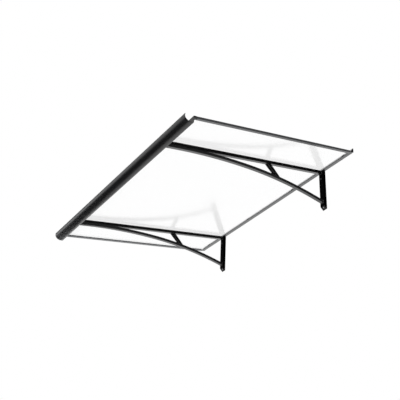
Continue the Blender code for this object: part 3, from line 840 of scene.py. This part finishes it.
def weld_paths(side):
    """The joints of one bracket: arm and brace on the post, strut between both, brace under the arm."""
    low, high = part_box(f"arm_{side}")
    left, right = low.x, high.x
    post_y = high.y
    paths = []
    distance = -post_y
    top = slope_height(distance, ARM_TOP) - 0.001
    bottom = slope_height(distance, ARM_BOTTOM)
    corners = ((left, top), (left, bottom), (right, bottom), (right, top))
    paths.append([Vector((x, post_y, z)) for x, z in corners])
    brace_top = brace_height_at(distance, BRACE_H)
    brace_bottom = brace_height_at(distance, 0.0)
    loop = ((left, brace_top), (left, brace_bottom), (right, brace_bottom), (right, brace_top), (left, brace_top))
    paths.append([Vector((x, post_y, z)) for x, z in loop])
    across = (left + WELD_INSET, right - WELD_INSET)
    fall = ARM_BOTTOM - brace_top_at(STRUT_FOOT)
    half = STRUT_T / 2 * math.hypot(fall, STRUT_TOP - STRUT_FOOT) / fall
    for sign in (-1, 1):
        paths.append([on_slope(x, STRUT_TOP + sign * half, ARM_BOTTOM - GAP) for x in across])
        foot = STRUT_FOOT + sign * half
        paths.append([on_slope(x, foot, brace_top_at(foot) + GAP) for x in across])
    throat = math.acos((BRACE_R + BRACE_FRONT_H) / (BRACE_R + BRACE_H))
    throat_u = BRACE_TANGENT - (BRACE_R + BRACE_H) * math.sin(throat) - math.sqrt(2 * BRACE_R * 0.0002)
    paths.append([on_slope(x, throat_u, BRACE_TOP - 0.0003) for x in across])
    return paths


class CANOPY_OT_sheet(bpy.types.Operator):
    """Gives the clear sheet its finish"""

    bl_idname = "canopy.sheet"
    bl_label = "Clear Sheet"

    def execute(self, context):
        dress("clear_sheet", "clear polycarbonate")
        return {"FINISHED"}


class CANOPY_OT_rubber(bpy.types.Operator):
    """Gives the seals and the arm pads their rubber"""

    bl_idname = "canopy.rubber"
    bl_label = "Seals and Pads"

    def execute(self, context):
        dress("wall_seal", "sealing rubber")
        dress("gutter_seal", "sealing rubber")
        for side in SIDES:
            dress(f"side_seal_{side}", "sealing rubber")
            dress(f"arm_pad_{side}", "sealing rubber")
        return {"FINISHED"}


class CANOPY_OT_wall_profile(bpy.types.Operator):
    """Finishes the profile along the wall and the plugs on its cover"""

    bl_idname = "canopy.wall_profile"
    bl_label = "Wall Profile"

    def execute(self, context):
        fine_copy("wall_profile", "grey extrusion across", 20.0)
        for node in sorted(NODES):
            if node.startswith("wall_plug_"):
                fine_copy(node, "black moulded plastic", 40.0)
        return {"FINISHED"}


class CANOPY_OT_side_profiles(bpy.types.Operator):
    """Finishes the channels along the sheet's sides"""

    bl_idname = "canopy.side_profiles"
    bl_label = "Side Profiles"

    def execute(self, context):
        for side in SIDES:
            dress(f"side_profile_{side}", "grey extrusion along")
        return {"FINISHED"}


class CANOPY_OT_gutter(bpy.types.Operator):
    """Makes the gutter with its lip bead, its rear wall and the slot for the sheet"""

    bl_idname = "canopy.gutter"
    bl_label = "Gutter"

    def execute(self, context):
        bm = gutter_mesh(context.scene.canopy_sizes)
        nodes = ("gutter", "front_profile")
        keep_piece("gutter_extrusion", bm, "shaded grey gutter coat", nodes)
        return {"FINISHED"}


class CANOPY_OT_gutter_screws(bpy.types.Operator):
    """Makes the pan-head screws inside the trough"""

    bl_idname = "canopy.gutter_screws"
    bl_label = "Gutter Screws"

    def execute(self, context):
        for side in SIDES:
            node = f"gutter_screw_{side}"
            keep_piece(f"{node}_head", screw_mesh(side), "stainless steel", (node,))
        return {"FINISHED"}


class CANOPY_OT_posts(bpy.types.Operator):
    """Finishes the posts with their feet and plugs"""

    bl_idname = "canopy.posts"
    bl_label = "Posts"

    def execute(self, context):
        for side in SIDES:
            fine_copy(f"post_{side}", "dull black powder coat", 50.0)
            fine_copy(f"post_foot_{side}", "black moulded plastic", 30.0)
            fine_copy(f"post_plug_{side}", "black moulded plastic", 40.0)
            # The foot plugs get the light grey, which is a painted highlight
            fine_copy(f"foot_plug_{side}", "highlight grey moulded plastic", 40.0)
        return {"FINISHED"}


class CANOPY_OT_arms(bpy.types.Operator):
    """Finishes the arms, braces, struts and the arms' inserts"""

    bl_idname = "canopy.arms"
    bl_label = "Arms and Braces"

    def execute(self, context):
        for side in SIDES:
            for part in ("arm", "strut"):
                fine_copy(f"{part}_{side}", "black powder coat", 50.0)
            fine_copy(f"brace_{side}", "brace powder coat", 50.0)
            dress(f"arm_insert_{side}", "black moulded plastic")
        return {"FINISHED"}


class CANOPY_OT_welds(bpy.types.Operator):
    """Makes the weld beads at the brackets' joints"""

    bl_idname = "canopy.welds"
    bl_label = "Weld Beads"

    def execute(self, context):
        sizes = context.scene.canopy_sizes
        for side in SIDES:
            name = f"weld_beads_{side}"
            keep_piece(name, bead(name, weld_paths(side), sizes), "black powder coat", (), 60.0)
        return {"FINISHED"}


def seen_as_white(finish, ambient):
    """1 for the rays that see or mirror a background, ambient for the light that it gives."""
    path = finish.node("ShaderNodeLightPath")
    seen = finish.value(path, "Is Camera Ray") + finish.value(path, "Is Glossy Ray")
    seen = (seen + finish.value(path, "Is Transmission Ray")).at_most(1.0)
    return seen * (1.0 - ambient) + ambient


def stage_plane(name, size, place, material):
    bm = bmesh.new()
    bmesh.ops.create_grid(bm, x_segments=1, y_segments=1, size=0.5)
    bmesh.ops.transform(bm, verts=bm.verts[:], matrix=place @ Matrix.Diagonal((size[0], size[1], 1.0, 1.0)))
    mesh = bpy.data.meshes.new(name)
    bm.to_mesh(mesh)
    bm.free()
    mesh.materials.append(material)
    plane = bpy.data.objects.new(name, mesh)
    bpy.context.scene.collection.objects.link(plane)
    return plane


def looking(place, target, up=UPRIGHT):
    """A matrix at place whose -Z axis points to target."""
    back = (Vector(place) - Vector(target)).normalized()
    right = up.cross(back).normalized()
    rise = back.cross(right)
    turn = Matrix((right, rise, back)).transposed().to_4x4()
    return Matrix.Translation(place) @ turn


def lamp(name, power, size, place):
    light = bpy.data.lights.new(name, "AREA")
    light.shape = "SQUARE"
    light.size = size
    light.energy = power
    obj = bpy.data.objects.new(name, light)
    obj.matrix_world = looking(place, LAMP_TARGET)
    bpy.context.scene.collection.objects.link(obj)
    obj.visible_camera = False
    obj.visible_glossy = False


class CANOPY_OT_stage(bpy.types.Operator):
    """Sets up the floor, the soft light, the dark cards and the camera"""

    bl_idname = "canopy.stage"
    bl_label = "Studio"

    def execute(self, context):
        studio = context.scene.canopy_studio
        world = bpy.data.worlds.new("Pale studio")
        context.scene.world = world
        finish = Finish(world)
        strength = seen_as_white(finish, studio.ambient)
        background = finish.node(
            "ShaderNodeBackground", None, {"Color": (1.0, 1.0, 1.0, 1.0), "Strength": strength}
        )
        finish.node("ShaderNodeOutputWorld", None, {"Surface": background.outputs[0]})
        self.floor(studio)
        self.cards()
        lamp("Key lamp", studio.key_power, KEY_LAMP_SIZE, KEY_LAMP_PLACE)
        lamp("Fill lamp", studio.fill_power, FILL_LAMP_SIZE, FILL_LAMP_PLACE)
        self.camera(context)
        context.scene.view_settings.view_transform = "Standard"
        return {"FINISHED"}

    def floor(self, studio):
        finish = Finish(bpy.data.materials.new("pale floor"))
        parts = finish.node("ShaderNodeVectorMath", {"operation": "LENGTH"}, {0: finish.place()})
        far = (finish.value(parts, "Value") - GLOW_START) / GLOW_WIDTH
        far = far.at_least(0.0).at_most(1.0)
        path = finish.node("ShaderNodeLightPath")
        mirrored = (finish.value(path, "Is Glossy Ray") + finish.value(path, "Is Transmission Ray")).at_most(1.0)
        cloud = finish.noise(finish.place(), 2.0, 3.0)
        matt = finish.node("ShaderNodeBsdfDiffuse", None, {
            "Color": finish.blend(cloud, (0.90, 0.90, 0.89, 1.0), (0.93, 0.93, 0.92, 1.0)),
        })
        glow = finish.node("ShaderNodeEmission", None, {"Color": (1.0, 1.0, 1.0, 1.0), "Strength": 1.0})
        factor = far.at_least(mirrored)
        both = finish.node("ShaderNodeMixShader", None, {0: factor, 1: matt.outputs[0], 2: glow.outputs[0]})
        finish.node("ShaderNodeOutputMaterial", None, {"Surface": both.outputs[0]})
        place = Matrix.Translation((0.0, 0.0, studio.floor_height))
        stage_plane("floor", (FLOOR_SIZE, FLOOR_SIZE), place, finish.owner)

    def cards(self):
        finish = Finish(bpy.data.materials.new("black card"))
        card = finish.surface({"Base Color": (0.004, 0.004, 0.004, 1.0), "Roughness": 1.0, "Specular IOR Level": 0.0})
        for name, size, place, target, up in CARDS:
            plane = stage_plane(name, size, looking(place, target, up), card)
            plane.visible_camera = False
            plane.visible_diffuse = False
            plane.visible_transmission = False
            plane.visible_shadow = False

    def camera(self, context):
        camera = bpy.data.cameras.new("Photo view")
        camera.lens = CAMERA_LENS
        camera.sensor_width = 36.0
        camera.clip_end = 60.0
        view = bpy.data.objects.new("Photo view", camera)
        right = CAMERA_RIGHT.normalized()
        back = CAMERA_BACK.normalized()
        rise = back.cross(right).normalized()
        right = rise.cross(back)
        turn = Matrix((right, rise, back)).transposed().to_4x4()
        view.matrix_world = Matrix.Translation(CAMERA_PLACE) @ turn
        context.scene.collection.objects.link(view)
        context.scene.camera = view


class CANOPY_PT_panel(bpy.types.Panel):
    """The canopy's pieces and finishes"""

    bl_label = "Door Canopy"
    bl_space_type = "VIEW_3D"
    bl_region_type = "UI"
    bl_category = "Canopy"

    def draw(self, context):
        layout = self.layout
        for operator in OPERATORS:
            layout.operator(operator.bl_idname)
        for group in (context.scene.canopy_finishes, context.scene.canopy_sizes, context.scene.canopy_studio):
            for name in group.__annotations__:
                layout.prop(group, name)


OPERATORS = (
    CANOPY_OT_stage,
    CANOPY_OT_sheet,
    CANOPY_OT_rubber,
    CANOPY_OT_wall_profile,
    CANOPY_OT_side_profiles,
    CANOPY_OT_gutter,
    CANOPY_OT_gutter_screws,
    CANOPY_OT_posts,
    CANOPY_OT_arms,
    CANOPY_OT_welds,
)
GROUPS = (CanopyFinishes, CanopySizes, CanopyStudio)


def register():
    for item in GROUPS + OPERATORS + (CANOPY_PT_panel,):
        bpy.utils.register_class(item)
    bpy.types.Scene.canopy_finishes = PointerProperty(type=CanopyFinishes)
    bpy.types.Scene.canopy_sizes = PointerProperty(type=CanopySizes)
    bpy.types.Scene.canopy_studio = PointerProperty(type=CanopyStudio)


def unregister():
    del bpy.types.Scene.canopy_studio
    del bpy.types.Scene.canopy_sizes
    del bpy.types.Scene.canopy_finishes
    for item in reversed(GROUPS + OPERATORS + (CANOPY_PT_panel,)):
        bpy.utils.unregister_class(item)


def main():
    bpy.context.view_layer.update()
    register()
    bpy.ops.canopy.stage()
    bpy.ops.canopy.sheet()
    bpy.ops.canopy.rubber()
    bpy.ops.canopy.wall_profile()
    bpy.ops.canopy.side_profiles()
    bpy.ops.canopy.gutter()
    bpy.ops.canopy.gutter_screws()
    bpy.ops.canopy.posts()
    bpy.ops.canopy.arms()
    bpy.ops.canopy.welds()


if __name__ == "__main__":
    main()
